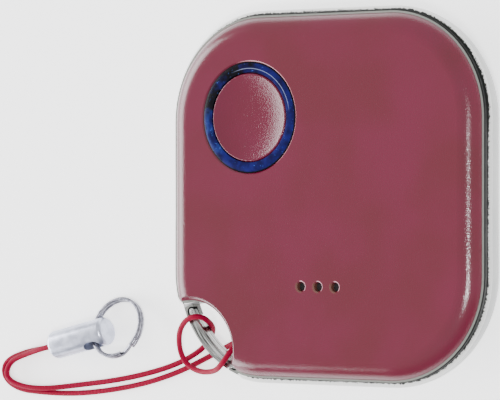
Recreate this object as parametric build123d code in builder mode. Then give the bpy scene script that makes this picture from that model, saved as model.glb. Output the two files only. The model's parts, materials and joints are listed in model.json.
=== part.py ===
from build123d import *
import os
from math import cos, degrees, hypot, radians, sin, tan

# A key-fob smart button, lying on its back. Millimetres, +Z out of the front face.
# The origin is the middle of the flat back. The corner for the bail is at -X, -Y.

os.makedirs("parts", exist_ok=True)

# Body
body_half = 18.0
body_corner = 10.65
face_z = 6.0
rim_z = 4.1
rear_rounding = 3.9
floor_wall = 0.8
side_wall = 1.35
cavity_bevel = 1.6
overrun = 1.0
running_gap = 0.05
assembly_gap = 0.1
outline_centre = body_half - body_corner
cavity_half = body_half - side_wall

# Corner cut-out for the bail
notch_inset = 3.0
notch_at = (notch_inset - body_half, notch_inset - body_half)
notch_radius = 4.7
horn_rounding = 1.0
notch_wall = 1.3

# Red front, with its wide rolled edge
cover_inset = 0.7
cover_half = body_half - cover_inset
cover_notch = 4.92
cover_wall = 0.9
edge_width = 1.97
edge_drop = 1.2
rim_wall = 0.05
notch_edge = 0.4
hole_edge = 0.12
cover_under_z = face_z - cover_wall

# Silver lip and its locating tongue
lip_inset = 0.5
lip_half = body_half - lip_inset
lip_height = 0.2
tongue_wall = 0.7
tongue_depth = 1.25
cover_rim_z = face_z - edge_drop - rim_wall
lip_z = cover_rim_z - lip_height
tongue_half = cavity_half - assembly_gap
frame_inner = tongue_half - tongue_wall

# Seal in the groove between the halves
seal_inset = 0.44
seal_half = body_half - seal_inset
seal_notch = 4.82
seal_width = seal_half - tongue_half - running_gap

# Push button, its light ring and the lights
button_share = (-0.4414, 0.4252)
button_at = (button_share[0] * body_half, button_share[1] * body_half)
button_radius = 4.3
button_top = 5.95
dish_radius = 3.9
dish_depth = 0.4
button_edge = 0.15
button_plate = 0.55
flange_reach = 0.5
flange_height = 0.25
nub_radius = 1.2
button_travel = 0.25
ring_radius = 5.35
ring_crown = 0.12
ring_skirt = 0.4
ring_foot = 0.75
ring_foot_height = 0.6
ring_drop = 2.35
light_count = 4
light_size = (1.6, 0.8, 0.6)

# Coin cell
cell_radius = 10.0
cell_right_gap = 1.65
cell_bottom_gap = 2.15
cell_at = (cavity_half - cell_radius - cell_right_gap, cell_radius + cell_bottom_gap - cavity_half)
cell_height = 3.2
cell_z = 1.0
cell_cap_radius = 8.6
cell_cap_height = 0.35
cell_seal_width = 0.45
cell_edge = 0.3
cell_gap = 0.15
pen_wall = 0.5
pen_height = 1.3
pen_opening = 6.0

# Circuit board
board_gap = 0.65
board_half = cavity_half - board_gap
board_z = 2.2
board_thickness = 0.6
board_bite = 10.6
board_notch_gap = 0.3
board_corner = 0.5
board_arm_share = (-0.6, 0.7)
post_places_share = [(-0.683, 0.683), (0.683, 0.683), (-0.756, -0.333), (-0.345, -0.722)]
post_radius = 0.9
stake_radius = 0.45
stake_head = 0.75
stake_head_height = 0.3

# Tactile switch under the button
switch_side = 4.5
switch_height = 1.1
switch_floor = 0.3
well_radius = 1.7
plate_thickness = 0.15
plate_tab = (1.2, 0.12, 0.6)
plunger_radius = 1.0
plunger_flange = 1.5
plunger_flange_height = 0.3
dome_radius = 1.55
dome_height = 0.4
dome_thickness = 0.06

# Radio parts on the board
chip_share = (0.178, 0.622)
chip_size = (5.0, 5.0, 0.85)
crystal_share = (0.461, 0.656)
crystal_size = (2.5, 2.0, 0.6)
antenna_share = (0.733, 0.4)
antenna_size = (1.6, 3.2, 1.1)
passive_size = (0.5, 1.0, 0.45)
passive_rows_share = [(0.178, 0.411), (0.178, 0.828), (-0.7, 0.011)]
passive_pitch = 1.3
passive_count = 4
package_edge = 0.06

# Cell contacts
leaf_width = 4.0
leaf_thickness = 0.15
leaf_past = 1.5
leaf_bend_out = 1.6
leaf_foot = 2.2
dimple_radius = 0.9
clip_thickness = 0.15
clip_angle = 30.0
clip_middle_angle = 142.0
clip_height = 1.0
clip_foot = 1.5
clip_gap = 0.02

# Sounder behind the three holes
sound_hole_radius = 0.45
sound_hole_chamfer = 0.1
sound_hole_pitch = 1.93
sound_hole_above = 0.23
buzzer_share = -0.1667
buzzer_gap = 0.55
buzzer_plate_radius = 6.5
buzzer_at = (buzzer_share * body_half, buzzer_plate_radius + buzzer_gap - frame_inner)
sound_hole_y = buzzer_at[1] + sound_hole_above
buzzer_plate_thickness = 0.2
buzzer_disc_radius = 4.4
buzzer_disc_thickness = 0.15
buzzer_room_radius = 5.6
buzzer_room_depth = 0.3
mesh_size = (7.0, 2.4, 0.1)
pin_barrel_radius = 0.5
pin_tip_radius = 0.25
pin_barrel_height = 1.2
disc_pin_share = (-0.554, -0.123)
plate_pin_share = (-0.908, 0.123)

# Bail across the corner, lapped on two lugs with a pin in each
bail_width = 1.05
bail_z = 2.15
bail_height = 1.35
bail_edge = 0.25
bail_angle = 207.0
tongue_width = 0.65
tongue_height = 0.65
tongue_angle = 203.5
tongue_gap = 0.17
bail_pin_radius = 0.2
bail_pin_depth = 0.5
bail_pin_proud = 0.06
pin_gap = 0.02
lug_root_angle = 186.0
lug_angle = 206.0
bail_inner = body_corner - bail_width
bail_top_z = bail_z + bail_height
tongue_z = bail_top_z - tongue_height
tongue_middle = bail_inner + tongue_width / 2

# Crimp on the cord's ends; places of the lanyard are measured from the cut-out's middle
crimp_end_from_notch = (-13.35, 1.5)
crimp_angle = 14.0
crimp_radius = 1.45
crimp_length = 7.0
crimp_edge = 0.35
bore_depth = 2.4
bore_gap = 0.03
strand_gap = 0.6
eye_from_end = 1.75
eye_width = 1.7
eye_length = 2.2
eye_roll = 20.0

# Small split ring in the crimp's eye
ring_middle = 3.0
band_thickness = 0.4
band_height = 0.7
band_seam = 0.05

# Cord: route from one end in the crimp, round the bail twice, back to the crimp
cord_diameter = 0.55
cord_sides = 8
cord_share = 0.45
cord_straight = 1.1
cord_from_notch = [
    (-24.0, -1.15, 1.05),
    (-26.5, -2.0, 0.86),
    (-27.1, -3.7, 0.86),
    (-25.2, -4.55, 0.86),
    (-22.0, -4.75, 0.86),
    (-17.7, -4.2, 0.28),
    (-12.9, -3.57, 0.28),
    (-8.4, -2.62, 0.28),
    (-5.0, -1.55, 0.28),
    (-2.25, -0.1, 0.3),
    (-0.1, 1.4, 0.7),
    (0.65, 2.25, 2.3),
    (0.6, 3.0, 4.05),
    (-1.1, 2.85, 4.2),
    (-2.7, 2.0, 3.5),
    (-3.9, 0.6, 2.3),
    (-4.2, -0.9, 1.35),
    (-3.5, -2.1, 1.05),
    (-1.8, -2.7, 1.4),
    (0.6, -2.4, 2.6),
    (2.4, -1.6, 4.15),
    (3.9, 0.2, 4.2),
    (3.8, 1.1, 2.3),
    (1.7, 0.6, 0.7),
    (-1.6, -0.9, 0.28),
    (-5.2, -2.5, 0.28),
    (-9.2, -3.75, 0.28),
    (-13.6, -4.6, 0.28),
    (-18.2, -5.15, 0.28),
    (-22.5, -5.15, 0.28),
    (-26.0, -4.9, 0.28),
    (-27.85, -3.6, 0.28),
    (-27.5, -1.95, 0.28),
    (-24.6, -0.95, 0.3),
]


corner_centre = (-outline_centre, -outline_centre)


def corner_of(half):
    return body_corner - (body_half - half)


def notched(half, notch, horn):
    # The body's outline at this half width, with the corner cut-out and rounded horns.
    with BuildSketch() as outline:
        RectangleRounded(2 * half, 2 * half, corner_of(half))
        with Locations(notch_at):
            Circle(notch, mode=Mode.SUBTRACT)
        fillet(outline.vertices().sort_by_distance((*notch_at, 0))[:2], horn)
    return outline.sketch


def inside_of(half, notch):
    # The outline at this half width, with the corner cut-out but sharp horns.
    with BuildSketch() as inside:
        RectangleRounded(2 * half, 2 * half, corner_of(half))
        with Locations(notch_at):
            Circle(notch, mode=Mode.SUBTRACT)
    return inside.sketch


def frame_of(half, notch, width, horn):
    # A picture frame of this width inside the notched outline.
    with BuildSketch() as frame:
        add(notched(half, notch, horn))
        add(inside_of(half - width, notch + width), mode=Mode.SUBTRACT)
    return frame.sketch


def arc_slot(middle, width, start, end):
    # A round-ended slot along an arc of the body's corner.
    with BuildLine() as line:
        CenterArc(corner_centre, middle, start, end - start)
    with BuildSketch() as slot:
        SlotArc(line.edges()[0], width)
    return slot.sketch


def corner_point(middle, angle):
    return (
        corner_centre[0] + middle * cos(radians(angle)),
        corner_centre[1] + middle * sin(radians(angle)),
    )


def arc_band(inner, outer, start, end):
    # A band between two radii of the body's corner, with radial ends.
    with BuildSketch() as band:
        with BuildLine():
            CenterArc(corner_centre, inner, start, end - start)
            CenterArc(corner_centre, outer, start, end - start)
            Line(corner_point(inner, start), corner_point(outer, start))
            Line(corner_point(inner, end), corner_point(outer, end))
        make_face()
    return band.sketch


def from_shares(share):
    return (share[0] * body_half, share[1] * body_half)


def both_ends(angle):
    # The same place at the bail's upper and lower end.
    return (angle, 450 - angle)


def packages(places, size, base_z, edge):
    # Small square parts with eased edges, standing on base_z.
    with BuildPart() as made:
        with BuildSketch(Plane.XY.offset(base_z)):
            with Locations(*places):
                Rectangle(size[0], size[1])
        extrude(amount=size[2])
        chamfer(made.edges().filter_by(Plane.XY).group_by(Axis.Z)[-1], edge)
    return made


def write(made, label):
    made.part.label = label
    export_step(made.part, f"parts/{label}.step")


button_axis = Axis((*button_at, 0), (0, 0, 1))
button_plane = Plane(origin=(*button_at, 0), x_dir=(1, 0, 0), z_dir=(0, -1, 0))
board_top = board_z + board_thickness

# Rear housing: a pebble with the corner cut through, hollow, with posts and lugs
with BuildPart() as pebble:
    with BuildSketch():
        RectangleRounded(2 * body_half, 2 * body_half, body_corner)
    extrude(amount=rim_z)
    fillet(pebble.edges().group_by(Axis.Z)[0], rear_rounding)

shelf_z = tongue_z - running_gap
with BuildPart() as corner_cut:
    with BuildSketch():
        with Locations(notch_at):
            Circle(notch_radius)
    extrude(amount=rim_z)
    for start, end in zip(both_ends(lug_root_angle), both_ends(lug_angle)):
        with BuildSketch(Plane.XY.offset(bail_z)):
            add(arc_band(bail_inner, body_corner, start, end))
        extrude(amount=bail_height, mode=Mode.SUBTRACT)

with BuildPart() as cavity:
    with BuildSketch(Plane.XY.offset(floor_wall)):
        RectangleRounded(2 * cavity_half, 2 * cavity_half, corner_of(cavity_half))
    extrude(amount=rim_z - floor_wall)
    chamfer(cavity.edges().group_by(Axis.Z)[0], cavity_bevel)
    with BuildSketch(Plane.XY.offset(floor_wall)):
        with Locations(notch_at):
            Circle(notch_radius + notch_wall)
    extrude(amount=rim_z - floor_wall, mode=Mode.SUBTRACT)

post_places = [from_shares(share) for share in post_places_share]
pen_outer = cell_radius + cell_gap + pen_wall
pry_width = 5.0
pry_depth = 0.9
pry_height = 0.7

with BuildPart() as rear_housing:
    add(pebble.part)
    add(corner_cut.part, mode=Mode.SUBTRACT)
    add(cavity.part, mode=Mode.SUBTRACT)
    # horns rounded in front of the bail, as the front's horns are
    with BuildSketch(Plane.XY.offset(bail_top_z)):
        with Locations(notch_at):
            Circle(notch_radius + horn_rounding)
        add(notched(body_half, notch_radius, horn_rounding), mode=Mode.SUBTRACT)
    extrude(amount=rim_z - bail_top_z, mode=Mode.SUBTRACT)
    # arch-shaped recesses for the bail's tongues, and holes for its pins
    with BuildSketch(Plane.XY.offset(shelf_z)):
        add(arc_slot(tongue_middle, tongue_width + 2 * tongue_gap, *both_ends(tongue_angle)))
    extrude(amount=rim_z - shelf_z, mode=Mode.SUBTRACT)
    pin_places = [corner_point(tongue_middle, angle) for angle in both_ends(tongue_angle)]
    with BuildSketch(Plane.XY.offset(shelf_z)):
        with Locations(*pin_places):
            Circle(bail_pin_radius + pin_gap)
    extrude(amount=-bail_pin_depth, mode=Mode.SUBTRACT)
    # notch for a coin or nail, to open the halves
    with BuildSketch(Plane.XY.offset(rim_z)):
        with Locations((-body_half, 0)):
            SlotOverall(pry_width, 2 * pry_depth, rotation=90)
    extrude(amount=-pry_height, mode=Mode.SUBTRACT)
    # low pen round the cell, open where the leaf passes
    with BuildSketch(Plane.XY.offset(floor_wall)):
        with Locations(cell_at):
            Circle(pen_outer)
            Circle(pen_outer - pen_wall, mode=Mode.SUBTRACT)
        with Locations((cell_at[0] - cell_radius, cell_at[1])):
            Rectangle(cell_radius, pen_opening, mode=Mode.SUBTRACT)
        add(notched(cavity_half, notch_radius + notch_wall, board_corner), mode=Mode.INTERSECT)
    extrude(amount=pen_height)
    # posts under the board, with stakes through it and melted heads
    with BuildSketch(Plane.XY.offset(floor_wall)):
        with Locations(*post_places):
            Circle(post_radius)
    extrude(amount=board_z - floor_wall)
    with BuildSketch(Plane.XY.offset(board_z)):
        with Locations(*post_places):
            Circle(stake_radius)
    extrude(amount=board_thickness)
    with BuildSketch(Plane.XY.offset(board_top)):
        with Locations(*post_places):
            Circle(stake_head)
    extrude(amount=stake_head_height)
write(rear_housing, "rear_housing")

# Bail with a rounded inner top edge and a tongue at each end, and its two pins
bail_start = radians(bail_angle)
bail_plane = Plane(
    origin=(*corner_centre, 0),
    x_dir=(cos(bail_start), sin(bail_start), 0),
    z_dir=(sin(bail_start), -cos(bail_start), 0),
)
with BuildPart() as lanyard_bail:
    with BuildSketch(bail_plane):
        with BuildLine():
            Polyline(
                (bail_inner, bail_top_z - bail_edge),
                (bail_inner, bail_z),
                (body_corner, bail_z),
                (body_corner, bail_top_z),
                (bail_inner + bail_edge, bail_top_z),
            )
            RadiusArc(
                (bail_inner, bail_top_z - bail_edge), (bail_inner + bail_edge, bail_top_z), bail_edge
            )
        make_face()
    bail_arc = both_ends(bail_angle)[1] - bail_angle
    revolve(axis=Axis((*corner_centre, 0), (0, 0, 1)), revolution_arc=bail_arc)
    add(pebble.part, mode=Mode.INTERSECT)
    with BuildSketch(Plane.XY.offset(tongue_z)):
        for inside_angle, end_angle in zip(both_ends(bail_angle), both_ends(tongue_angle)):
            add(arc_band(bail_inner, bail_inner + tongue_width, end_angle, inside_angle))
        with Locations(*pin_places):
            Circle(tongue_width / 2)
            Circle(bail_pin_radius, mode=Mode.SUBTRACT)
    extrude(amount=tongue_height)
write(lanyard_bail, "lanyard_bail")

with BuildPart() as bail_pins:
    with BuildSketch(Plane.XY.offset(shelf_z - bail_pin_depth)):
        with Locations(*pin_places):
            Circle(bail_pin_radius)
    extrude(amount=bail_top_z + bail_pin_proud - shelf_z + bail_pin_depth)
    chamfer(bail_pins.edges().group_by(Axis.Z)[-1], bail_pin_proud)
write(bail_pins, "bail_pins")

# Coin cell: can on top, sealing ring, and the smaller cap facing down
cell_plane = Plane(origin=(*cell_at, 0), x_dir=(1, 0, 0), z_dir=(0, -1, 0))
cell_axis = Axis((*cell_at, 0), (0, 0, 1))
can_z = cell_z + cell_cap_height / 2
seal_outer = cell_cap_radius + cell_seal_width
with BuildPart() as cell_can:
    with BuildSketch(cell_plane):
        with BuildLine():
            Polyline(
                (0, cell_z + cell_cap_height),
                (seal_outer, cell_z + cell_cap_height),
                (seal_outer, can_z),
                (cell_radius, can_z),
                (cell_radius, cell_z + cell_height),
                (0, cell_z + cell_height),
                close=True,
            )
        make_face()
    revolve(axis=cell_axis)
    rim_edges = cell_can.edges().filter_by(GeomType.CIRCLE).filter_by(
        lambda edge: edge.radius > seal_outer + cell_gap
    )
    chamfer(rim_edges, cell_edge)
write(cell_can, "cell_can")

with BuildPart() as cell_seal:
    with BuildSketch(Plane.XY.offset(can_z)):
        with Locations(cell_at):
            Circle(seal_outer)
            Circle(cell_cap_radius, mode=Mode.SUBTRACT)
    extrude(amount=cell_z + cell_cap_height - can_z)
write(cell_seal, "cell_seal")

with BuildPart() as cell_cap:
    with BuildSketch(Plane.XY.offset(cell_z)):
        with Locations(cell_at):
            Circle(cell_cap_radius)
    extrude(amount=cell_cap_height)
    chamfer(cell_cap.edges().group_by(Axis.Z)[0], cell_cap_height / 2)
write(cell_cap, "cell_cap")

# Circuit board with its bite for the cell
with BuildPart() as circuit_board:
    with BuildSketch(Plane.XY.offset(board_z)) as board_face:
        add(notched(board_half, notch_radius + notch_wall + board_notch_gap, board_corner))
        with Locations(cell_at):
            Circle(board_bite, mode=Mode.SUBTRACT)
        with Locations((board_half, cell_at[1] + board_arm_share[1] * cell_radius)):
            Rectangle(
                2 * (board_half - cell_at[0]), 2 * board_half,
                align=(Align.CENTER, Align.MAX), mode=Mode.SUBTRACT,
            )
        with Locations((cell_at[0] + board_arm_share[0] * cell_radius, -board_half)):
            Rectangle(
                2 * board_half, board_half + cell_at[1],
                align=(Align.MIN, Align.MIN), mode=Mode.SUBTRACT,
            )
        with Locations(*post_places):
            Circle(stake_radius + running_gap, mode=Mode.SUBTRACT)
    extrude(amount=board_thickness)
write(circuit_board, "circuit_board")

# Tactile switch: moulded base with a well, snap dome, steel plate and plunger
switch_top = board_top + switch_height
plate_top = switch_top + plate_thickness
well_z = board_top + switch_floor
button_under_z = button_top - dish_depth - button_plate
nub_z = plate_top + button_travel + assembly_gap

with BuildPart() as switch_base:
    with BuildSketch(Plane.XY.offset(board_top)):
        with Locations(button_at):
            Rectangle(switch_side, switch_side)
    extrude(amount=switch_height)
    chamfer(switch_base.edges().filter_by(Axis.Z), switch_floor)
    with BuildSketch(Plane.XY.offset(well_z)):
        with Locations(button_at):
            Circle(well_radius)
    extrude(amount=switch_height, mode=Mode.SUBTRACT)
write(switch_base, "switch_base")

dome_sphere = (dome_radius**2 + dome_height**2) / (2 * dome_height)
with BuildPart() as switch_dome:
    with BuildSketch(button_plane):
        with BuildLine():
            outer_arc = TangentArc(
                (0, well_z + dome_height), (dome_radius, well_z), tangent=(1, 0)
            )
            Line(outer_arc @ 1, (dome_radius - dome_thickness, well_z))
            TangentArc(
                (0, well_z + dome_height - dome_thickness),
                (dome_radius - dome_thickness, well_z), tangent=(1, 0),
            )
            Line((0, well_z + dome_height - dome_thickness), outer_arc @ 0)
        make_face()
    revolve(axis=button_axis)
write(switch_dome, "switch_dome")

with BuildPart() as switch_plate:
    with BuildSketch(Plane.XY.offset(switch_top)):
        with Locations(button_at):
            Rectangle(switch_side, switch_side)
            Circle(plunger_radius + running_gap, mode=Mode.SUBTRACT)
    extrude(amount=plate_thickness)
    tab_out = switch_side / 2 + plate_tab[1] / 2
    with BuildSketch(Plane.XY.offset(plate_top)):
        with Locations(button_at):
            with Locations((-tab_out, 0), (tab_out, 0)):
                Rectangle(plate_tab[1], plate_tab[0])
    extrude(amount=-plate_tab[2])
write(switch_plate, "switch_plate")

with BuildPart() as switch_plunger:
    with BuildSketch(Plane.XY.offset(well_z + dome_height)):
        with Locations(button_at):
            Circle(plunger_flange)
    extrude(amount=plunger_flange_height)
    with BuildSketch(Plane.XY.offset(well_z + dome_height)):
        with Locations(button_at):
            Circle(plunger_radius)
    extrude(amount=nub_z - well_z - dome_height)
    chamfer(switch_plunger.edges().group_by(Axis.Z)[-1], package_edge)
write(switch_plunger, "switch_plunger")

# Four lights under the light ring
light_circle = ring_radius - ring_skirt / 2
with BuildPart() as ring_leds:
    with BuildSketch(Plane.XY.offset(board_top)):
        with Locations(button_at):
            with PolarLocations(light_circle, light_count):
                Rectangle(light_size[1], light_size[0])
    extrude(amount=light_size[2])
    chamfer(ring_leds.edges().filter_by(Plane.XY).group_by(Axis.Z)[-1], package_edge)
write(ring_leds, "ring_leds")

# Radio parts
write(packages([from_shares(chip_share)], chip_size, board_top, package_edge), "radio_chip")
write(packages([from_shares(crystal_share)], crystal_size, board_top, package_edge), "chip_crystal")
write(packages([from_shares(antenna_share)], antenna_size, board_top, package_edge), "chip_antenna")
row_span = passive_pitch * (passive_count - 1)
passive_places = [
    (x - row_span / 2 + passive_pitch * i, y)
    for x, y in map(from_shares, passive_rows_share)
    for i in range(passive_count)
]
write(packages(passive_places, passive_size, board_top, package_edge), "board_passives")

# Leaf under the cell, bent up to the board's underside
leaf_tip_x = cell_at[0] + leaf_past
leaf_bend_x = cell_at[0] - cell_radius - leaf_bend_out
with BuildPart() as negative_leaf:
    leaf_plane = Plane(origin=(0, cell_at[1] + leaf_width / 2, 0), x_dir=(1, 0, 0), z_dir=(0, -1, 0))
    with BuildSketch(leaf_plane):
        with BuildLine():
            Polyline(
                (leaf_tip_x, floor_wall),
                (leaf_bend_x, floor_wall),
                (leaf_bend_x, board_z - leaf_thickness),
                (leaf_bend_x - leaf_foot, board_z - leaf_thickness),
                (leaf_bend_x - leaf_foot, board_z),
                (leaf_bend_x + leaf_thickness, board_z),
                (leaf_bend_x + leaf_thickness, floor_wall + leaf_thickness),
                (leaf_tip_x, floor_wall + leaf_thickness),
                close=True,
            )
        make_face()
    extrude(amount=leaf_width)
    with BuildSketch(Plane.XY.offset(floor_wall + leaf_thickness)):
        with Locations(cell_at):
            Circle(dimple_radius)
    extrude(amount=cell_z - floor_wall - leaf_thickness)
write(negative_leaf, "negative_leaf")

# Clip that touches the can's side, standing on the board
clip_inner = cell_radius + clip_gap
with BuildPart() as positive_clip:
    with BuildSketch(cell_plane):
        with BuildLine():
            Polyline(
                (clip_inner, board_top + clip_thickness),
                (clip_inner, board_top + clip_height),
                (clip_inner + clip_thickness, board_top + clip_height),
                (clip_inner + clip_thickness, board_top + clip_thickness),
                (board_bite + clip_foot, board_top + clip_thickness),
                (board_bite + clip_foot, board_top),
                (clip_inner, board_top),
                close=True,
            )
        make_face()
    revolve(axis=cell_axis, revolution_arc=clip_angle)
clip_turned = positive_clip.part.rotate(cell_axis, clip_middle_angle - clip_angle / 2)
clip_turned.label = "positive_clip"
export_step(clip_turned, "parts/positive_clip.step")

# Red front: the rolled edge is a rounding on a larger outline, cut back to the cover's
frame_notch = notch_radius + lip_half - frame_inner
edge_rounding = (edge_width**2 + edge_drop**2) / (2 * edge_drop)
grown_half = cover_half + edge_rounding - edge_width
flare_plane = Plane(origin=(*notch_at, 0), x_dir=(1, 0, 0), z_dir=(0, -1, 0))
with BuildPart() as notch_flare:
    with BuildSketch(flare_plane):
        with BuildLine():
            flare = RadiusArc(
                (cover_notch, face_z - notch_edge), (cover_notch + notch_edge, face_z), -notch_edge
            )
            Polyline(
                flare @ 1,
                (cover_notch + notch_edge, face_z + overrun),
                (0, face_z + overrun),
                (0, face_z - notch_edge),
                flare @ 0,
            )
        make_face()
    revolve(axis=Axis((*notch_at, 0), (0, 0, 1)))
with BuildPart() as front_cover:
    with BuildSketch(Plane.XY.offset(face_z)):
        RectangleRounded(2 * grown_half, 2 * grown_half, corner_of(grown_half))
    extrude(amount=-edge_rounding - overrun)
    fillet(front_cover.edges().group_by(Axis.Z)[-1], edge_rounding)
    with BuildSketch(Plane.XY.offset(face_z)):
        with Locations(button_at):
            Circle(ring_radius + running_gap)
        with Locations((0, sound_hole_y)):
            with GridLocations(sound_hole_pitch, 0, 3, 1):
                Circle(sound_hole_radius)
    extrude(amount=-edge_drop - rim_wall, mode=Mode.SUBTRACT)
    top_rims = front_cover.edges().filter_by(GeomType.CIRCLE).group_by(Axis.Z)[-1]
    hole_rims = top_rims.filter_by(lambda edge: edge.is_closed).sort_by(SortBy.LENGTH)
    chamfer(hole_rims[-1], hole_edge)
    chamfer(hole_rims[:-1], sound_hole_chamfer)
    with BuildSketch(Plane.XY.offset(cover_rim_z)):
        add(notched(cover_half, cover_notch, horn_rounding))
    extrude(amount=edge_drop + rim_wall, mode=Mode.INTERSECT)
    add(notch_flare.part, mode=Mode.SUBTRACT)
    with BuildSketch(Plane.XY.offset(cover_rim_z)):
        add(inside_of(frame_inner, frame_notch))
    extrude(amount=cover_under_z - cover_rim_z, mode=Mode.SUBTRACT)
    with BuildSketch(Plane.XY.offset(cover_under_z)):
        with Locations(buzzer_at):
            Circle(buzzer_room_radius)
    extrude(amount=buzzer_room_depth, mode=Mode.SUBTRACT)
write(front_cover, "front_cover")

# Silver lip with its tongue inside the housing's wall
with BuildPart() as bezel_frame:
    with BuildSketch(Plane.XY.offset(lip_z)):
        add(frame_of(lip_half, notch_radius, lip_half - frame_inner, horn_rounding))
    extrude(amount=lip_height)
    with BuildSketch(Plane.XY.offset(lip_z)):
        add(frame_of(tongue_half, notch_radius + notch_wall + assembly_gap, tongue_wall, assembly_gap))
    extrude(amount=-tongue_depth)
write(bezel_frame, "bezel_frame")

# Seal in the groove
with BuildPart() as seal_gasket:
    with BuildSketch(Plane.XY.offset(rim_z)):
        add(frame_of(seal_half, seal_notch, seal_width, horn_rounding))
    extrude(amount=lip_z - rim_z)
write(seal_gasket, "seal_gasket")

# Light ring: crowned top, a skirt down to the lights and a foot under the red front
ring_inner = button_radius + running_gap
skirt_inner = ring_radius - ring_skirt
step_z = button_under_z + flange_height + running_gap
ring_low_z = face_z - ring_drop - running_gap
with BuildPart() as light_ring:
    with BuildSketch(button_plane):
        with BuildLine():
            crown = ThreePointArc(
                (ring_inner, button_top),
                ((ring_inner + ring_radius) / 2, button_top + ring_crown / 2),
                (ring_radius, button_top - ring_crown),
            )
            Polyline(
                crown @ 1,
                (ring_radius, cover_under_z),
                (ring_radius + ring_foot, cover_under_z),
                (ring_radius + ring_foot, cover_under_z - ring_foot_height),
                (ring_radius, cover_under_z - ring_foot_height),
                (ring_radius, ring_low_z),
                (skirt_inner, ring_low_z),
                (skirt_inner, step_z),
                (ring_inner, step_z),
                crown @ 0,
            )
        make_face()
    revolve(axis=button_axis)
write(light_ring, "light_ring")

# Sounder: brass plate under the front, ceramic disc under the plate, mesh behind the holes
plate_z = cover_under_z - buzzer_plate_thickness
disc_z = plate_z - buzzer_disc_thickness
with BuildPart() as buzzer_plate:
    with BuildSketch(Plane.XY.offset(plate_z)):
        with Locations(buzzer_at):
            Circle(buzzer_plate_radius)
    extrude(amount=buzzer_plate_thickness)
write(buzzer_plate, "buzzer_plate")

with BuildPart() as buzzer_ceramic:
    with BuildSketch(Plane.XY.offset(disc_z)):
        with Locations(buzzer_at):
            Circle(buzzer_disc_radius)
    extrude(amount=buzzer_disc_thickness)
write(buzzer_ceramic, "buzzer_ceramic")

with BuildPart() as sound_mesh:
    with BuildSketch(Plane.XY.offset(cover_under_z + buzzer_room_depth)):
        with Locations((0, sound_hole_y)):
            SlotOverall(mesh_size[0], mesh_size[1])
        with Locations(buzzer_at):
            Circle(buzzer_room_radius - running_gap, mode=Mode.INTERSECT)
    extrude(amount=-mesh_size[2])
write(sound_mesh, "sound_mesh")

with BuildPart() as buzzer_pins:
    for share, tip_z in ((disc_pin_share, disc_z), (plate_pin_share, plate_z)):
        place = tuple(buzzer_at[i] + share[i] * buzzer_plate_radius for i in range(2))
        with BuildSketch(Plane.XY.offset(board_top)):
            with Locations(place):
                Circle(pin_barrel_radius)
        extrude(amount=pin_barrel_height)
        with BuildSketch(Plane.XY.offset(board_top)):
            with Locations(place):
                Circle(pin_tip_radius)
        extrude(amount=tip_z - board_top)
write(buzzer_pins, "buzzer_pins")

# Button cap: dished top, flange that the ring's step holds, nub on the switch
flange_radius = button_radius + flange_reach
with BuildPart() as button_cap:
    with BuildSketch(button_plane):
        with BuildLine():
            dish = TangentArc(
                (0, button_top - dish_depth), (dish_radius, button_top), tangent=(1, 0)
            )
            Polyline(
                dish @ 1,
                (button_radius, button_top),
                (button_radius, button_under_z + flange_height),
                (flange_radius, button_under_z + flange_height),
                (flange_radius, button_under_z),
                (nub_radius, button_under_z),
                (nub_radius, nub_z),
                (0, nub_z),
                dish @ 0,
            )
        make_face()
    revolve(axis=button_axis)
    cap_rim = button_cap.edges().filter_by(GeomType.CIRCLE).filter_by(
        lambda e: e.center().Z > button_top - running_gap and e.radius > dish_radius - running_gap
    )
    chamfer(cap_rim, button_edge)
write(button_cap, "button_cap")

# Crimp on the cord's two ends, lying on the floor
crimp_dir = (cos(radians(crimp_angle)), sin(radians(crimp_angle)), 0)
crimp_side = (-crimp_dir[1], crimp_dir[0], 0)
crimp_start = (
    notch_at[0] + crimp_end_from_notch[0] - crimp_length * crimp_dir[0],
    notch_at[1] + crimp_end_from_notch[1] - crimp_length * crimp_dir[1],
    crimp_radius,
)
crimp_plane = Plane(origin=crimp_start, x_dir=crimp_side, z_dir=crimp_dir)
eye = tuple(crimp_start[i] + (crimp_length - eye_from_end) * crimp_dir[i] for i in range(3))
roll = radians(eye_roll)
eye_dir = (cos(roll) * crimp_side[0], cos(roll) * crimp_side[1], -sin(roll))
eye_plane = Plane(origin=eye, x_dir=crimp_dir, z_dir=eye_dir)
bore_width = cord_diameter + 2 * bore_gap
with BuildPart() as cord_crimp:
    with BuildSketch(crimp_plane):
        Circle(crimp_radius)
    extrude(amount=crimp_length)
    fillet(cord_crimp.edges().filter_by(GeomType.CIRCLE), crimp_edge)
    with BuildSketch(crimp_plane):
        SlotCenterToCenter(strand_gap, bore_width, rotation=90)
    extrude(amount=bore_depth, mode=Mode.SUBTRACT)
    with BuildSketch(eye_plane):
        SlotOverall(eye_length, eye_width)
    extrude(amount=2 * crimp_radius, both=True, mode=Mode.SUBTRACT)
write(cord_crimp, "cord_crimp")

# Split ring through the eye, its far edge on the floor
ring_outer = ring_middle + band_thickness / 2


def ring_low_point(droop):
    # Height of the ring's lowest point when it points down by this angle.
    along_z = -sin(droop) * cos(roll)
    normal_z = cos(droop) * cos(roll)
    return eye[2] + ring_middle * along_z - ring_outer * hypot(along_z, sin(roll)) \
        - band_height / 2 * normal_z


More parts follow.
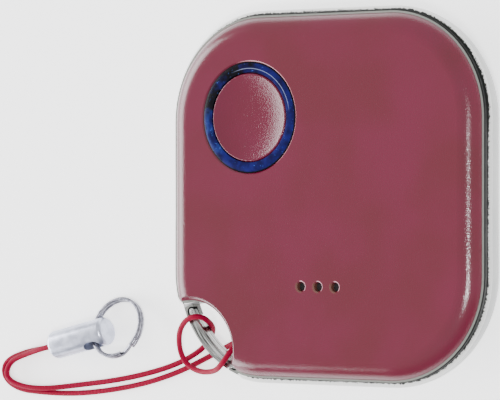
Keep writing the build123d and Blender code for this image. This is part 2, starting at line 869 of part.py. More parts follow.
low, high = radians(-60), radians(60)
for _ in range(40):
    middle = (low + high) / 2
    low, high = (middle, high) if ring_low_point(middle) > 0 else (low, middle)
ring_droop = low
ring_dir = Vector(*crimp_dir) * cos(ring_droop) + Vector(*eye_dir).cross(Vector(*crimp_dir)) * sin(ring_droop)
ring_centre = Vector(*eye) + ring_dir * ring_middle
ring_normal = ring_dir.cross(Vector(*eye_dir))
band_plane = Plane(origin=ring_centre, x_dir=ring_dir, z_dir=ring_dir.cross(ring_normal))
with BuildPart() as key_ring:
    with BuildSketch(band_plane):
        with Locations((ring_middle, 0)):
            Rectangle(band_thickness, band_height)
            with Locations((band_thickness / 2, 0)):
                Rectangle(band_seam, band_seam, rotation=45, mode=Mode.SUBTRACT)
    revolve(axis=Axis(ring_centre, ring_normal))
write(key_ring, "key_ring")

# Cord: straight runs joined by arcs as large as the runs allow
bore_end = [crimp_start[i] + bore_depth * crimp_dir[i] for i in range(2)]
mouth_out = [crimp_start[i] - cord_straight * crimp_dir[i] for i in range(2)]
upper_z = crimp_radius + strand_gap / 2
lower_z = crimp_radius - strand_gap / 2
cord_route = [(*bore_end, upper_z), (*mouth_out, upper_z)]
cord_route += [(notch_at[0] + x, notch_at[1] + y, z) for x, y, z in cord_from_notch]
cord_route += [(*mouth_out, lower_z), (*bore_end, lower_z)]
runs = [(Vector(*b) - Vector(*a)) for a, b in zip(cord_route, cord_route[1:])]
bends = []
for before, after in zip(runs, runs[1:]):
    turn = radians(before.get_angle(after))
    bends.append(cord_share * min(before.length, after.length) / tan(turn / 2))
print("cord bend radii", [round(bend, 2) for bend in bends])
print("cord runs", [round(run.length, 2) for run in runs])
with BuildPart() as lanyard_cord:
    with BuildLine() as cord_line:
        FilletPolyline(*cord_route, radius=bends)
    with BuildSketch(Plane(origin=cord_route[0], z_dir=runs[0])):
        RegularPolygon(cord_diameter / 2, cord_sides)
    sweep(path=cord_line.line)
write(lanyard_cord, "lanyard_cord")

cord_length = cord_line.wires()[0].length
print("cord length", round(cord_length, 2), "volume share",
      round(lanyard_cord.part.volume / (cord_length * 3.14159265 * cord_diameter**2 / 4), 4))
print("eye", [round(v, 4) for v in eye], "eye axis", [round(v, 5) for v in eye_dir])
print("ring droop", round(degrees(ring_droop), 2))
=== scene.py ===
import bmesh
import bpy
import json
from math import atan2, copysign, cos, pi, radians, sin
from mathutils import Matrix, Vector


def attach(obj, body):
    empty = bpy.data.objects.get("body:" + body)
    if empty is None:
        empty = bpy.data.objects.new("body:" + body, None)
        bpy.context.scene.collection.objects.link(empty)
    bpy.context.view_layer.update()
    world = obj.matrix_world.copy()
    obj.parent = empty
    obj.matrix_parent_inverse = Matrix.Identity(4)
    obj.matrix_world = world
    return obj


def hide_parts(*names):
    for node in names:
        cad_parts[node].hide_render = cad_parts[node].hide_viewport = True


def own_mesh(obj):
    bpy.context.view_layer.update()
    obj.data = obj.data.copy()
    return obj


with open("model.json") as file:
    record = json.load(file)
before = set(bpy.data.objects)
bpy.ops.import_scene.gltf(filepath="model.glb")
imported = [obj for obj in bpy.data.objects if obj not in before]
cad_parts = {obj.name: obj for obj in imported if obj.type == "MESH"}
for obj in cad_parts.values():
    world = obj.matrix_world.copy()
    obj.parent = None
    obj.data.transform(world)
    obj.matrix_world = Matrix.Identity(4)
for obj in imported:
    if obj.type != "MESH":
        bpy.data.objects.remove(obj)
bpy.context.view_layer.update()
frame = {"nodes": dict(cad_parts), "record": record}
mm = 0.001
micron = 1e-6
up = Vector((0, 0, 1))


def placed(name, data):
    # a new object in the scene
    item = bpy.data.objects.new(name, data)
    bpy.context.scene.collection.objects.link(item)
    return item


def placing(origin, x, y, z):
    # the matrix that gives a thing these axes and this origin
    return Matrix((
        (x.x, y.x, z.x, origin.x),
        (x.y, y.y, z.y, origin.y),
        (x.z, y.z, z.z, origin.z),
        (0, 0, 0, 1),
    ))


print("camera")
# where the photographer stood, fitted to the perspective of the outline;
# aside and below shift the view, because the photo's middle isn't the object's
view = {
    "turn": radians(32.9),
    "rise": radians(-0.11),
    "away": 0.30094,
    "target": Vector((0, 0, 0.003)),
    "lens": 226.26,
    "sensor": 36.0,
    "aside": -0.02692,
    "below": -0.00105,
    "near": 0.01,
    "far": 10,
}
back = Vector((
    sin(view["turn"]) * cos(view["rise"]),
    sin(view["rise"]),
    cos(view["turn"]) * cos(view["rise"]),
))
right = Vector((0, 1, 0)).cross(back).normalized()
above = back.cross(right)
forward = (-back + right * view["aside"] + above * view["below"]).normalized()
sideways = forward.cross(above).normalized()
cameraData = bpy.data.cameras.new("camera")
cameraData.lens = view["lens"]
cameraData.sensor_width = view["sensor"]
cameraData.clip_start = view["near"]
cameraData.clip_end = view["far"]
camera = placed("camera", cameraData)
camera.matrix_world = placing(
    view["target"] + back * view["away"], sideways, sideways.cross(forward), -forward)
bpy.context.scene.camera = camera


# Shader helpers
class Amount:
    # a node's output that adds, scales and compares like a number
    def __init__(self, nodes, socket):
        self.nodes = nodes
        self.socket = socket

    def work(self, operation, *values):
        settings = {"operation": operation}
        return self.nodes.node("ShaderNodeMath", settings, dict(enumerate(values)))

    def __add__(self, other):
        return self.work("ADD", self, other)

    def __radd__(self, other):
        return self.work("ADD", other, self)

    def __sub__(self, other):
        return self.work("SUBTRACT", self, other)

    def __rsub__(self, other):
        return self.work("SUBTRACT", other, self)

    def __mul__(self, other):
        return self.work("MULTIPLY", self, other)

    def __neg__(self):
        return self.work("MULTIPLY", self, -1)

    def __truediv__(self, other):
        return self.work("DIVIDE", self, other)

    def __pow__(self, other):
        return self.work("POWER", self, other)

    def sine(self):
        return self.work("SINE", self)

    def size(self):
        return self.work("ABSOLUTE", self)

    def atLeast(self, low):
        return self.work("MAXIMUM", self, low)

    def angle(self, across):
        # the angle of a point this high and so far across
        return self.work("ARCTAN2", self, across)

    def swing(self, reach):
        # 0 to 1 turned into a swing of this reach round 0
        return (self - 0.5) * reach

    def blend(self, other, share):
        # this share of it, and the rest from the other
        return self * share + other * (1 - share)

    def rise(self, low, high):
        # 0 below low, 1 above high, smooth between
        return self.nodes.node(
            "ShaderNodeMapRange", {"interpolation_type": "SMOOTHSTEP"},
            {"Value": self, "From Min": low, "From Max": high},
        )

    def fall(self, low, high):
        # 1 below low, 0 above high, smooth between
        return 1 - self.rise(low, high)

    def near(self, middle, reach):
        # 1 at the middle value, 0 beyond its reach
        return ((self - middle) / reach).size().fall(0.0, 1.0)


def distance(x, y):
    # how far a point lies from the middle, for amounts
    return (x * x + y * y) ** 0.5


def facing(direction, x, y, away):
    # 1 on the side that the direction points to, -1 on the other
    return (x * direction[0] + y * direction[1]) / away


class Nodes:
    # a node tree and the place that its patterns follow
    def __init__(self, tree, follow):
        self.tree = tree
        self.place = self.coordinates(follow)

    def node(self, kind, settings, sockets, output=0):
        made = self.tree.nodes.new(kind)
        for key, value in settings.items():
            setattr(made, key, value)
        for key, value in sockets.items():
            self.feed(made.inputs[key], value)
        return Amount(self, made.outputs[output])

    def feed(self, socket, value):
        if isinstance(value, Amount):
            self.tree.links.new(value.socket, socket)
        else:
            socket.default_value = value

    def coordinates(self, kind):
        return self.node("ShaderNodeTexCoord", {}, {}, kind)

    def axes(self, place=None):
        # x, y and z of a place as three amounts
        split = self.tree.nodes.new("ShaderNodeSeparateXYZ")
        self.feed(split.inputs[0], place or self.place)
        return [Amount(self, output) for output in split.outputs]

    def around(self, middle):
        # x and y from a middle point, and the distance from it
        x, y = self.axes()[:2]
        x = x - middle[0]
        y = y - middle[1]
        return x, y, distance(x, y)

    def vector(self, x, y, z):
        return self.node("ShaderNodeCombineXYZ", {}, {0: x, 1: y, 2: z})

    def noise(self, grain, detail=2.0, rough=0.5, place=None):
        # noise whose spots are about grain metres across
        sockets = {
            "Vector": place or self.place,
            "Scale": 1 / grain,
            "Detail": detail,
            "Roughness": rough,
        }
        return self.node("ShaderNodeTexNoise", {}, sockets)

    def mix(self, first, second, amount):
        # a colour between two colours; the sockets are numbered because three share a name
        factor, firstColour, secondColour, colourResult = 0, 6, 7, 2
        return self.node(
            "ShaderNodeMix", {"data_type": "RGBA"},
            {factor: amount, firstColour: first, secondColour: second}, colourResult,
        )


class Finish(Nodes):
    # one surface finish, built on the Principled shader
    def __init__(self, name, **fixed):
        self.material = bpy.data.materials.new(name)
        self.material.use_nodes = True
        super().__init__(self.material.node_tree, "Object")
        self.shader = self.tree.nodes["Principled BSDF"]
        self.set(**fixed)

    def set(self, **amounts):
        for socket, value in amounts.items():
            self.feed(self.shader.inputs[socket.replace("_", " ")], value)

    def bump(self, height, depth):
        sockets = {"Strength": 1.0, "Distance": depth, "Height": height}
        self.set(Normal=self.node("ShaderNodeBump", {}, sockets))


def colour(red, green, blue):
    # a colour as a screen shows it, 0 to 255, turned into light by the screen's own curve
    def linear(part):
        part = part / 255
        return part / 12.92 if part <= 0.04045 else ((part + 0.055) / 1.055) ** 2.4
    return (linear(red), linear(green), linear(blue), 1.0)


print("finishes")
cornerCentre = 7.35 * mm
notchAt = (-15 * mm, -15 * mm)
button = {
    "at": (-7.945 * mm, 7.654 * mm),
    "radius": 4.3 * mm,
    "top": 5.95 * mm,
    "holeEdge": 5.45 * mm,
}
soundHoles = {
    "middle": (0, -8.57 * mm),
    "pitch": 1.93 * mm,
    # edge: where the painted highlight lies; the last pair: how far the painted shade reaches
    # round each sound hole
    "edge": 0.52 * mm,
    "dust": (0.5 * mm, 0.68 * mm),
}
# the width of the painted highlights on the holes' edges
highlightWidth = 0.08 * mm


def plainFinish(
    name, main, other, roughness,
    metallic=0.0, grain=0.15 * mm, depth=micron, patch=2 * mm,
):
    # moulded, rolled or fired surfaces: patchy colour, uneven gloss and fine grain
    finish = Finish(name, Metallic=metallic)
    patches = finish.noise(patch, detail=3.0).rise(0.35, 0.65)
    fine = finish.noise(grain, detail=3.0, rough=0.6)
    finish.set(
        Base_Color=finish.mix(main, other, patches.blend(fine, 0.5)),
        Roughness=roughness + fine.swing(0.18) + patches.swing(0.06),
    )
    finish.bump(fine, depth)
    return finish


def paintHoleLightAndShade(finish, paint, dust):
    # painted highlight: a pale edge round the button's hole on the side facing (0.9, 0.4), its
    # end made ragged by the dust noise
    x, y, away = finish.around(button["at"])
    highlightSide = facing((0.9, 0.4), x, y, away) + dust.swing(0.3)
    paintedHighlight = away.near(button["holeEdge"], highlightWidth) * highlightSide.rise(0.1, 0.5)
    paint = finish.mix(paint, colour(206, 150, 158), paintedHighlight)
    # each sound hole has brownish painted shade on one side and a painted highlight on its edge
    # on the other
    middleX, middleY = soundHoles["middle"]
    for step in (-1, 0, 1):
        x, y, away = finish.around((middleX + step * soundHoles["pitch"], middleY))
        side = facing((0.88, 0.47), x, y, away)
        holeShade = away.fall(*soundHoles["dust"]) * (-side).rise(-0.1, 0.7)
        paint = finish.mix(paint, colour(96, 62, 50), holeShade * 0.85)
        paintedHighlight = away.near(soundHoles["edge"], highlightWidth) * side.rise(0.05, 0.6)
        paint = finish.mix(paint, colour(226, 176, 186), paintedHighlight)
    return paint


def redFinish(name, main, other, gloss, depth, holes=False):
    # gloss paint with a faint orange peel and sparkling dust
    finish = Finish(name, Specular_IOR_Level=gloss)
    cloud = finish.noise(7 * mm).rise(0.3, 0.7)
    peel = finish.noise(0.5 * mm, detail=1.0)
    dust = finish.noise(0.12 * mm, detail=1.0)
    specks = finish.noise(0.11 * mm, detail=1.0).rise(0.5, 0.58)
    paint = finish.mix(main, other, cloud.blend(dust, 0.65))
    # painted highlights and painted shade round the button's hole and the sound holes
    if holes:
        paint = paintHoleLightAndShade(finish, paint, dust)
    finish.set(Base_Color=paint, Roughness=0.12 + specks * 0.07)
    finish.bump(dust + peel * 0.4, depth)
    return finish


def lightRingFinish():
    # clear blue guide over dark works: bands by radius, patches round the turn; painted light on
    # it: shade on one side and along the outer edge, a reflection on another side, a highlight
    # line
    bands = {
        "line": 4.72 * mm,
        "lineWidth": 0.05 * mm,
        "darkEdge": (5.22 * mm, 5.28 * mm),
        "dark": (-0.65, 0.75),
        "reflectionSide": (-0.98, -0.15),
        "lit": (0.5, 0.86),
    }
    finish = Finish("light ring blue", Specular_IOR_Level=0.1)
    x, y, radius = finish.around(button["at"])
    cloud = finish.noise(1.6 * mm)
    shade = facing(bands["dark"], x, y, radius) + cloud.swing(2.2)
    reflectionSide = facing(bands["reflectionSide"], x, y, radius) + cloud.swing(1.2)
    lit = facing(bands["lit"], x, y, radius).rise(0.55, 0.8)
    patches = finish.noise(0.9 * mm).rise(0.3, 0.75)
    glints = finish.noise(0.28 * mm, rough=0.7).rise(0.64, 0.76)
    line = radius.near(bands["line"], bands["lineWidth"]) * lit
    body = finish.mix(colour(8, 5, 48), colour(13, 15, 84), patches)
    # painted reflection: steel blue on one side
    body = finish.mix(body, colour(34, 52, 116), reflectionSide.rise(0.8, 1.05) * 0.8)
    # painted shade: near black on one side
    body = finish.mix(body, colour(1, 0, 6), shade.rise(0.45, 0.95))
    body = finish.mix(body, colour(70, 110, 200), glints * 0.5)
    # painted highlight: a pale line on the lit side
    body = finish.mix(body, colour(130, 140, 170), line * 0.8)
    # painted shade: near black along the outer edge, next to the gap to the cover
    body = finish.mix(body, colour(2, 2, 5), radius.rise(*bands["darkEdge"]))
    finish.set(Base_Color=body, Roughness=0.22 + patches * 0.1)
    finish.bump(finish.noise(0.25 * mm), 3 * micron)
    return finish


def shellFinish():
    # satin silver lacquer with fine flakes; painted shade: black in the lugs' recesses, dark in
    # the groove along the seal and darker grey inside the notch; and a painted highlight: white
    # on the rim's flat top
    shell = {
        "pins": ((-16.452 * mm, -11.308 * mm), (-11.308 * mm, -16.452 * mm)),
        "recessShade": (0.5 * mm, 0.53 * mm),
        "recessLow": (2.74 * mm, 2.78 * mm),
        "recessHigh": (3.47 * mm, 3.495 * mm),
        "notch": (4.64 * mm, 4.69 * mm),
        "rimHighlight": (4.06 * mm, 4.09 * mm),
        "grooveInner": (10.05 * mm, 10.1 * mm),
        "grooveOuter": (10.26 * mm, 10.31 * mm),
        "grooveWiden": 0.13 * mm,
        "speckle": 0.13 * mm,
        "speckleReach": 0.5 * mm,
    }
    finish = Finish("shell silver", Metallic=0.15)
    x, y, z = finish.axes()
    flakes = finish.noise(0.07 * mm, rough=0.7)
    cloud = finish.noise(5 * mm, detail=3.0).rise(0.3, 0.7)
    # painted shade: black inside the lugs' recesses round the bail's pins, between two heights
    recessShade = 0
    for pinAt in shell["pins"]:
        recessShade = recessShade + finish.around(pinAt)[2].fall(*shell["recessShade"])
    recessShade = recessShade * z.rise(*shell["recessLow"]) * z.fall(*shell["recessHigh"])
    # painted shade: the lugs inside the notch turn darker grey; this amount is 1 beyond the
    # notch
    beyondNotchShade = finish.around(notchAt)[2].rise(*shell["notch"])
    rimHighlight = z.rise(*shell["rimHighlight"])
    outward = distance(
        (x.size() - cornerCentre).atLeast(0), (y.size() - cornerCentre).atLeast(0))
    widen = (y / outward).rise(0.45, 0.85) * shell["grooveWiden"]
    speckle = finish.noise(shell["speckle"], detail=1.0).swing(shell["speckleReach"])
    ragged = outward + speckle - widen
    # painted shade: a dark, ragged band on the rim along the seal, wider towards +Y
    grooveShade = outward.rise(*shell["grooveInner"]) * ragged.fall(*shell["grooveOuter"])
    silver = finish.mix(colour(158, 160, 160), colour(182, 182, 180), cloud.blend(flakes, 0.5))
    silver = finish.mix(colour(112, 114, 110), silver, beyondNotchShade)
    # painted highlight: the rim's flat top turns white
    silver = finish.mix(silver, colour(246, 246, 244), rimHighlight)
    silver = finish.mix(silver, colour(34, 36, 34), rimHighlight * grooveShade)
    finish.set(
        Base_Color=finish.mix(silver, colour(6, 6, 7), recessShade),
        Roughness=0.34 + flakes.swing(0.2),
    )
    finish.bump(flakes, 1.5 * micron)
    return finish


def lipFinish():
    # bright top edge over a dark side, which the groove shades
    finish = Finish("lip silver", Specular_IOR_Level=0.35)
    z = finish.axes()[2]
    fine = finish.noise(0.08 * mm, detail=3.0, rough=0.7)
    bright = (z + fine * 0.02 * mm).rise(4.738 * mm, 4.756 * mm)
    silver = finish.mix(colour(84, 88, 82), colour(150, 152, 146), fine)
    finish.set(
        Base_Color=finish.mix(colour(14, 16, 15), silver, bright),
        Roughness=0.3 + fine.swing(0.2),
    )
    finish.bump(fine, 3 * micron)
    return finish


def rubberFinish():
    # black rubber with a pale bloom
    finish = Finish("seal rubber", Specular_IOR_Level=0.4)
    fine = finish.noise(0.08 * mm, detail=3.0, rough=0.7)
    bloom = finish.noise(1.2 * mm).rise(0.5, 0.75)
    finish.set(
        Base_Color=finish.mix(colour(8, 8, 9), colour(40, 42, 41), fine * 0.4 + bloom * 0.3),
        Roughness=0.36 + fine.swing(0.3),
    )
    finish.bump(fine, 8 * micron)
    return finish


def bailFinish():
    # steel drawn round the bow: streaks that follow it
    drawn = {"acrossPerMetre": 5200, "roundPerRadian": 3}
    finish = Finish("bail steel", Metallic=1.0)
    z = finish.axes()[2]
    x, y, radius = finish.around((-cornerCentre, -cornerCentre))
    along = finish.vector(
        radius * drawn["acrossPerMetre"],
        y.angle(x) * drawn["roundPerRadian"],
        z * drawn["acrossPerMetre"],
    )
    streaks = finish.noise(1.0, detail=3.0, rough=0.6, place=along)
    fine = finish.noise(0.1 * mm, rough=0.6)
    steel = finish.mix(colour(74, 76, 73), colour(198, 198, 196), streaks.rise(0.3, 0.7))
    finish.set(Base_Color=steel, Roughness=0.18 + streaks * 0.16 + fine.swing(0.08))
    finish.bump(streaks + fine * 0.3, 2 * micron)
    return finish


def crimpFinish(axis):
    # satin nickel, turned: fine rings along the axis and a soft bluish tone
    ringsPerMetre = 16000
    finish = Finish("crimp nickel", Metallic=1.0)
    x, y = finish.axes()[:2]
    along = x * axis.x + y * axis.y
    turning = finish.vector(along * ringsPerMetre, 0, 0)
    rings = finish.noise(1.0, detail=3.0, rough=0.6, place=turning)
    patches = finish.noise(0.9 * mm, detail=3.0).rise(0.35, 0.65)
    nickel = finish.mix(colour(158, 162, 180), colour(214, 218, 234), rings.blend(patches, 0.6))
    finish.set(Base_Color=nickel, Roughness=0.26 + rings * 0.12 + patches.swing(0.05))
    finish.bump(rings, 1.2 * micron)
    return finish


def splitRingFinish():
    # worn spring steel
    finish = Finish("small ring steel", Metallic=1.0)
    wear = finish.noise(0.5 * mm, detail=4.0, rough=0.6)
    fine = finish.noise(0.06 * mm, rough=0.7)
    finish.set(
        Base_Color=finish.mix(colour(92, 92, 102), colour(152, 152, 162), wear.rise(0.3, 0.7)),
        Roughness=0.2 + fine.swing(0.12) + wear * 0.1,
    )
    finish.bump(wear + fine * 0.5, 2 * micron)
    return finish


def cordFinish():
    # smooth braided cord: two sets of strands that cross, counted along it and round it
    strandsAlong = 2 * pi * 190
    strandsRound = 2 * pi * 4
    finish = Finish("cord crimson", Specular_IOR_Level=0.06)
    u, v = finish.axes(finish.coordinates("UV"))[:2]
    oneWay = (u * strandsAlong + v * strandsRound).sine()
    otherWay = (u * strandsAlong - v * strandsRound).sine()
    weave = oneWay * otherWay * 0.5 + 0.5
    fibres = finish.noise(0.05 * mm, detail=3.0, rough=0.7)
    stain = finish.noise(2.5 * mm).rise(0.35, 0.7)
    body = finish.mix(colour(92, 0, 26), colour(154, 2, 52), weave.blend(fibres, 0.5))
    finish.set(
        Base_Color=finish.mix(body, colour(120, 0, 32), stain * 0.5),
        Roughness=0.5 + fibres.swing(0.3),
    )
    finish.bump(weave + fibres * 0.4, 12 * micron)
    return finish


def boardFinish():
    # solder mask over tracks, with bare gold rings here and there
    finish = Finish("board green")
    bricks = {
        "Vector": finish.place,
        "Scale": 420.0,
        "Mortar Size": 0.03,
        "Brick Width": 1.3,
        "Row Height": 0.42,
    }
    tracks = finish.node("ShaderNodeTexBrick", {"offset": 0.37, "squash": 0.6}, bricks, "Fac")
    cells = {"Vector": finish.place, "Scale": 330.0}
    spots = finish.node("ShaderNodeTexVoronoi", {}, cells, "Distance").fall(0.07, 0.1)
    fine = finish.noise(0.12 * mm)
    mask = finish.mix(colour(14, 74, 44), colour(34, 116, 70), tracks.blend(fine, 0.8))
    finish.set(
        Base_Color=finish.mix(mask, colour(206, 168, 92), spots),
        Roughness=0.3 + fine.swing(0.15),
        Metallic=spots * 0.8,
    )
    finish.bump(tracks + spots * 0.4, 6 * micron)
    return finish


def cellFinish():
    # plated steel can, drawn and spun: rings about the cell's middle and fine scratches
    cellAt = (5.0 * mm, -4.5 * mm)
    ringsPerMetre = 9000
    finish = Finish("cell steel", Metallic=1.0)
    z = finish.axes()[2]
    x, y, radius = finish.around(cellAt)
    spun = finish.vector(radius * ringsPerMetre, 0, 0)
    slanted = finish.vector(x * 700 + y * 500, y * 9000 - x * 6000, z * 900)
    rings = finish.noise(1.0, rough=0.6, place=spun)
    scratches = finish.noise(1.0, detail=3.0, rough=0.7, place=slanted)
    steel = finish.mix(colour(178, 178, 182), colour(226, 226, 228), rings.blend(scratches, 0.6))
    finish.set(Base_Color=steel, Roughness=0.22 + scratches * 0.2)
    finish.bump(rings.blend(scratches, 0.5), 1.5 * micron)
    return finish


def meshFinish():
    # woven dust mesh
    threads = 2 * pi * 5200
    finish = Finish("dust mesh")
    x, y = finish.axes()[:2]
    cloth = (x * threads).sine() * (y * threads).sine() * 0.5 + 0.5
    finish.set(
        Base_Color=finish.mix(colour(4, 3, 4), colour(26, 22, 24), cloth),
        Roughness=0.55 + cloth * 0.2,
    )
    finish.bump(cloth, 10 * micron)
    return finish


crimp = {
    "start": Vector((-35.14207, -15.19345, 1.45)) * mm,
    "angle": radians(14),
    "radius": 1.45 * mm,
    "length": 7.0 * mm,
    "edge": 0.42 * mm,
    "edgeSteps": 8,
    "turnSteps": 96,
}
crimpAxis = Vector((cos(crimp["angle"]), sin(crimp["angle"]), 0))
crimpSide = Vector((-crimpAxis.y, crimpAxis.x, 0))
finishes = {
    "red_front": redFinish(
        "front red", colour(92, 6, 41), colour(82, 8, 26),
        gloss=0.5, depth=16 * micron, holes=True),
    "red_button": redFinish(
        "button red", colour(91, 12, 43), colour(84, 14, 33), gloss=0.38, depth=28 * micron),
    "blue_ring": lightRingFinish(),
    "silver_lip": lipFinish(),
    "silver_shell": shellFinish(),
    "seal_black": rubberFinish(),
    "bail_steel": bailFinish(),
    "crimp_nickel": crimpFinish(crimpAxis),
    "cord_red": cordFinish(),
    "board_green": boardFinish(),
    "cell_steel": cellFinish(),
    "mesh_dark": meshFinish(),
}
# slot: name, two colours, roughness, metallic, grain in mm, its depth in microns
plainRows = {
    "seal_plastic": ("seal plastic", (206, 202, 190), (186, 182, 170), 0.5, 0.0, 0.15, 1),
    "contact_gold": ("contact gold", (214, 172, 92), (236, 200, 128), 0.26, 1.0, 0.1, 1),
    "contact_steel": ("contact steel", (186, 186, 192), (216, 216, 222), 0.28, 1.0, 0.1, 1),
    "switch_black": ("switch black", (22, 22, 24), (40, 40, 43), 0.5, 0.0, 0.15, 1),
    "plunger_ivory": ("plunger ivory", (226, 218, 198), (210, 202, 182), 0.42, 0.0, 0.15, 1),
    "led_white": ("light package", (236, 228, 190), (222, 204, 120), 0.3, 0.0, 0.4, 1),
    "chip_black": ("chip black", (20, 20, 22), (38, 37, 40), 0.56, 0.0, 0.06, 3),
    "crystal_can": ("crystal can", (188, 188, 194), (214, 212, 208), 0.3, 1.0, 0.15, 1),
    "ceramic_tan": ("ceramic tan", (160, 132, 104), (184, 158, 130), 0.5, 0.0, 0.1, 3),
    "buzzer_brass": ("buzzer brass", (196, 156, 78), (222, 186, 110), 0.3, 1.0, 0.2, 1),
    "buzzer_white": ("buzzer silver", (214, 210, 198), (232, 230, 222), 0.45, 0.2, 0.08, 3),
}
for slot, (name, main, other, roughness, metallic, grain, depth) in plainRows.items():
    finishes[slot] = plainFinish(
        name, colour(*main), colour(*other), roughness, metallic, grain * mm, depth * micron)
splitSteel = splitRingFinish()

print("frame pieces")
for row in frame["record"]["subparts"]:
    node = frame["nodes"][row["node"]]
    for spot in node.material_slots:
        spot.material = finishes[row["material_slot"]].material
    if not node.material_slots:
        node.data.materials.append(finishes[row["material_slot"]].material)


# Shape helpers
def finished(name, mesh, body, slot, nodes, material=None, sharpFrom=35):
    # a finished piece at the origin, riding its body and standing for its CAD nodes
    for polygon in mesh.polygons:
        polygon.use_smooth = True
    mesh.set_sharp_from_angle(angle=radians(sharpFrom))
    mesh.materials.clear()
    mesh.materials.append(material or finishes[slot].material)
    piece = placed(name, mesh)
    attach(piece, body)
    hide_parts(*nodes)
    return piece


def meshOf(name, shape):
    # the mesh of a shape, which is used up by it
    bmesh.ops.recalc_face_normals(shape, faces=shape.faces)
    mesh = bpy.data.meshes.new(name)
    shape.to_mesh(mesh)
    shape.free()
    return mesh


def turned(outline, closed=False, steps=128):
    # an outline of (radius, height) points spun round Z
    shape = bmesh.new()
    points = [shape.verts.new((radius, 0, height)) for radius, height in outline]
    for here, there in zip(points, points[1:] + points[:1] if closed else points[1:]):
        shape.edges.new((here, there))
    bmesh.ops.spin(
        shape, geom=shape.verts[:] + shape.edges[:], cent=(0, 0, 0), axis=up,
        angle=2 * pi, steps=steps, use_merge=True,
    )
    bmesh.ops.remove_doubles(shape, verts=shape.verts, dist=0.1 * micron)
    return shape


def turnedAtButton(outline, closed=False, steps=128):
    # an outline spun round the button's axis
    shape = turned(outline, closed, steps)
    bmesh.ops.translate(shape, verts=shape.verts, vec=(*button["at"], 0))
    return shape


def arcPoints(middle, radius, start, end, count):
    # points along an arc, for an outline
    angles = [start + (end - start) * i / count for i in range(count + 1)]
    return [(middle[0] + radius * cos(a), middle[1] + radius * sin(a)) for a in angles]


def slotCutter(wide, long, deep, matrix):
    # a round-ended slot standing along local Z
    onAxis = 1e-9
    cutter = bmesh.new()
    bmesh.ops.create_circle(cutter, cap_ends=True, segments=48, radius=wide / 2)
    for vert in cutter.verts:
        if abs(vert.co.x) > onAxis:
            vert.co.x += copysign((long - wide) / 2, vert.co.x)
    made = bmesh.ops.extrude_face_region(cutter, geom=cutter.faces[:])
    top = [part for part in made["geom"] if isinstance(part, bmesh.types.BMVert)]
    bmesh.ops.translate(cutter, verts=top, vec=(0, 0, deep))
    bmesh.ops.transform(cutter, matrix=matrix, verts=cutter.verts)
    return cutter


def carved(shape, cutters):
    # a mesh with the cutters' shapes taken out of it
    base = placed("base", meshOf("base", shape))
    tools = [placed("tool", meshOf("tool", cutter)) for cutter in cutters]
    for tool in tools:
        cut = base.modifiers.new("cut", "BOOLEAN")
        cut.operation = "DIFFERENCE"
        cut.solver = "EXACT"
        cut.object = tool
    bpy.context.view_layer.update()
    result = base.evaluated_get(bpy.context.evaluated_depsgraph_get())
    mesh = bpy.data.meshes.new_from_object(result)
    for item in [base] + tools:
        bpy.data.objects.remove(item)
    return mesh


print("button cap")
# the dish falls from its rim to the hollow's depth, flatter in the middle by the swell
cap = {
    "dish": 4.1 * mm,
    "dishSteps": 32,
    "hollow": 0.51 * mm,
    "swell": 2.7,
    "edge": 0.13 * mm,
    "edgeInset": 0.1755 * mm,
    "edgeFrom": radians(100),
    "edgeSteps": 8,
    "wallDrop": 0.182 * mm,
    "underside": 5.0 * mm,
    "flange": 4.8 * mm,
    "flangeHeight": 0.25 * mm,
    "nub": 1.2 * mm,
    "nubZ": 4.4 * mm,
}
outline = []
for i in range(cap["dishSteps"] + 1):
    across = i / cap["dishSteps"]
    deep = cap["hollow"] * (1 - across ** cap["swell"])
    outline.append((cap["dish"] * across, button["top"] - deep))
outline += arcPoints(
    (button["radius"] - cap["edgeInset"], button["top"] - cap["edge"]),
    cap["edge"], cap["edgeFrom"], 0, cap["edgeSteps"])
outline += [
    (button["radius"], button["top"] - cap["wallDrop"]),
    (button["radius"], cap["underside"] + cap["flangeHeight"]),
    (cap["flange"], cap["underside"] + cap["flangeHeight"]),
    (cap["flange"], cap["underside"]),
    (cap["nub"], cap["underside"]),
    (cap["nub"], cap["nubZ"]),
    (0, cap["nubZ"]),
]
mesh = meshOf("buttonCap", turnedAtButton(outline))
finished("buttonCap", mesh, "button", "red_button", ["button_cap"])

print("light ring")
# its crown is a low arch that drops towards the outside
guide = {
    "inner": 4.35 * mm,
    "outer": 5.35 * mm,
    "crown": 0.039 * mm,
    "crownSteps": 24,
    "drop": 0.05 * mm,
    "foot": 6.1 * mm,
    "footTop": 5.1 * mm,
    "footLow": 4.5 * mm,
    "skirtLow": 3.6 * mm,
    "skirtInner": 4.95 * mm,
    "stepZ": 5.3 * mm,
}
outline = []
for i in range(guide["crownSteps"] + 1):
    across = i / guide["crownSteps"]
    arch = guide["crown"] * 4 * across * (1 - across) - guide["drop"] * across ** 2
    outline.append((
        guide["inner"] + (guide["outer"] - guide["inner"]) * across, button["top"] + arch))
outline += [
    (guide["outer"], guide["footTop"]),
    (guide["foot"], guide["footTop"]),
    (guide["foot"], guide["footLow"]),
    (guide["outer"], guide["footLow"]),
    (guide["outer"], guide["skirtLow"]),
    (guide["skirtInner"], guide["skirtLow"]),
    (guide["skirtInner"], guide["stepZ"]),
    (guide["inner"], guide["stepZ"]),
]
mesh = meshOf("lightRing", turnedAtButton(outline, closed=True))
finished("lightRing", mesh, "cover", "blue_ring", ["light_ring"])

print("switch dome")
dome = {
    "radius": 1.55 * mm,
    "height": 0.4 * mm,
    "thick": 0.06 * mm,
    "seat": 3.1 * mm,
    "pressed": 0.375,
    "arcSteps": 16,
    "turnSteps": 64,
}


def domeArc(radius, height, rising):
    # a shallow arc between the dome's middle and its foot
    ball = (radius ** 2 + height ** 2) / (2 * height)
    middle = (0, dome["seat"] + height - ball)
    foot = atan2(ball - height, radius)
    ends = (foot, pi / 2) if rising else (pi / 2, foot)
    return arcPoints(middle, ball, *ends, dome["arcSteps"])


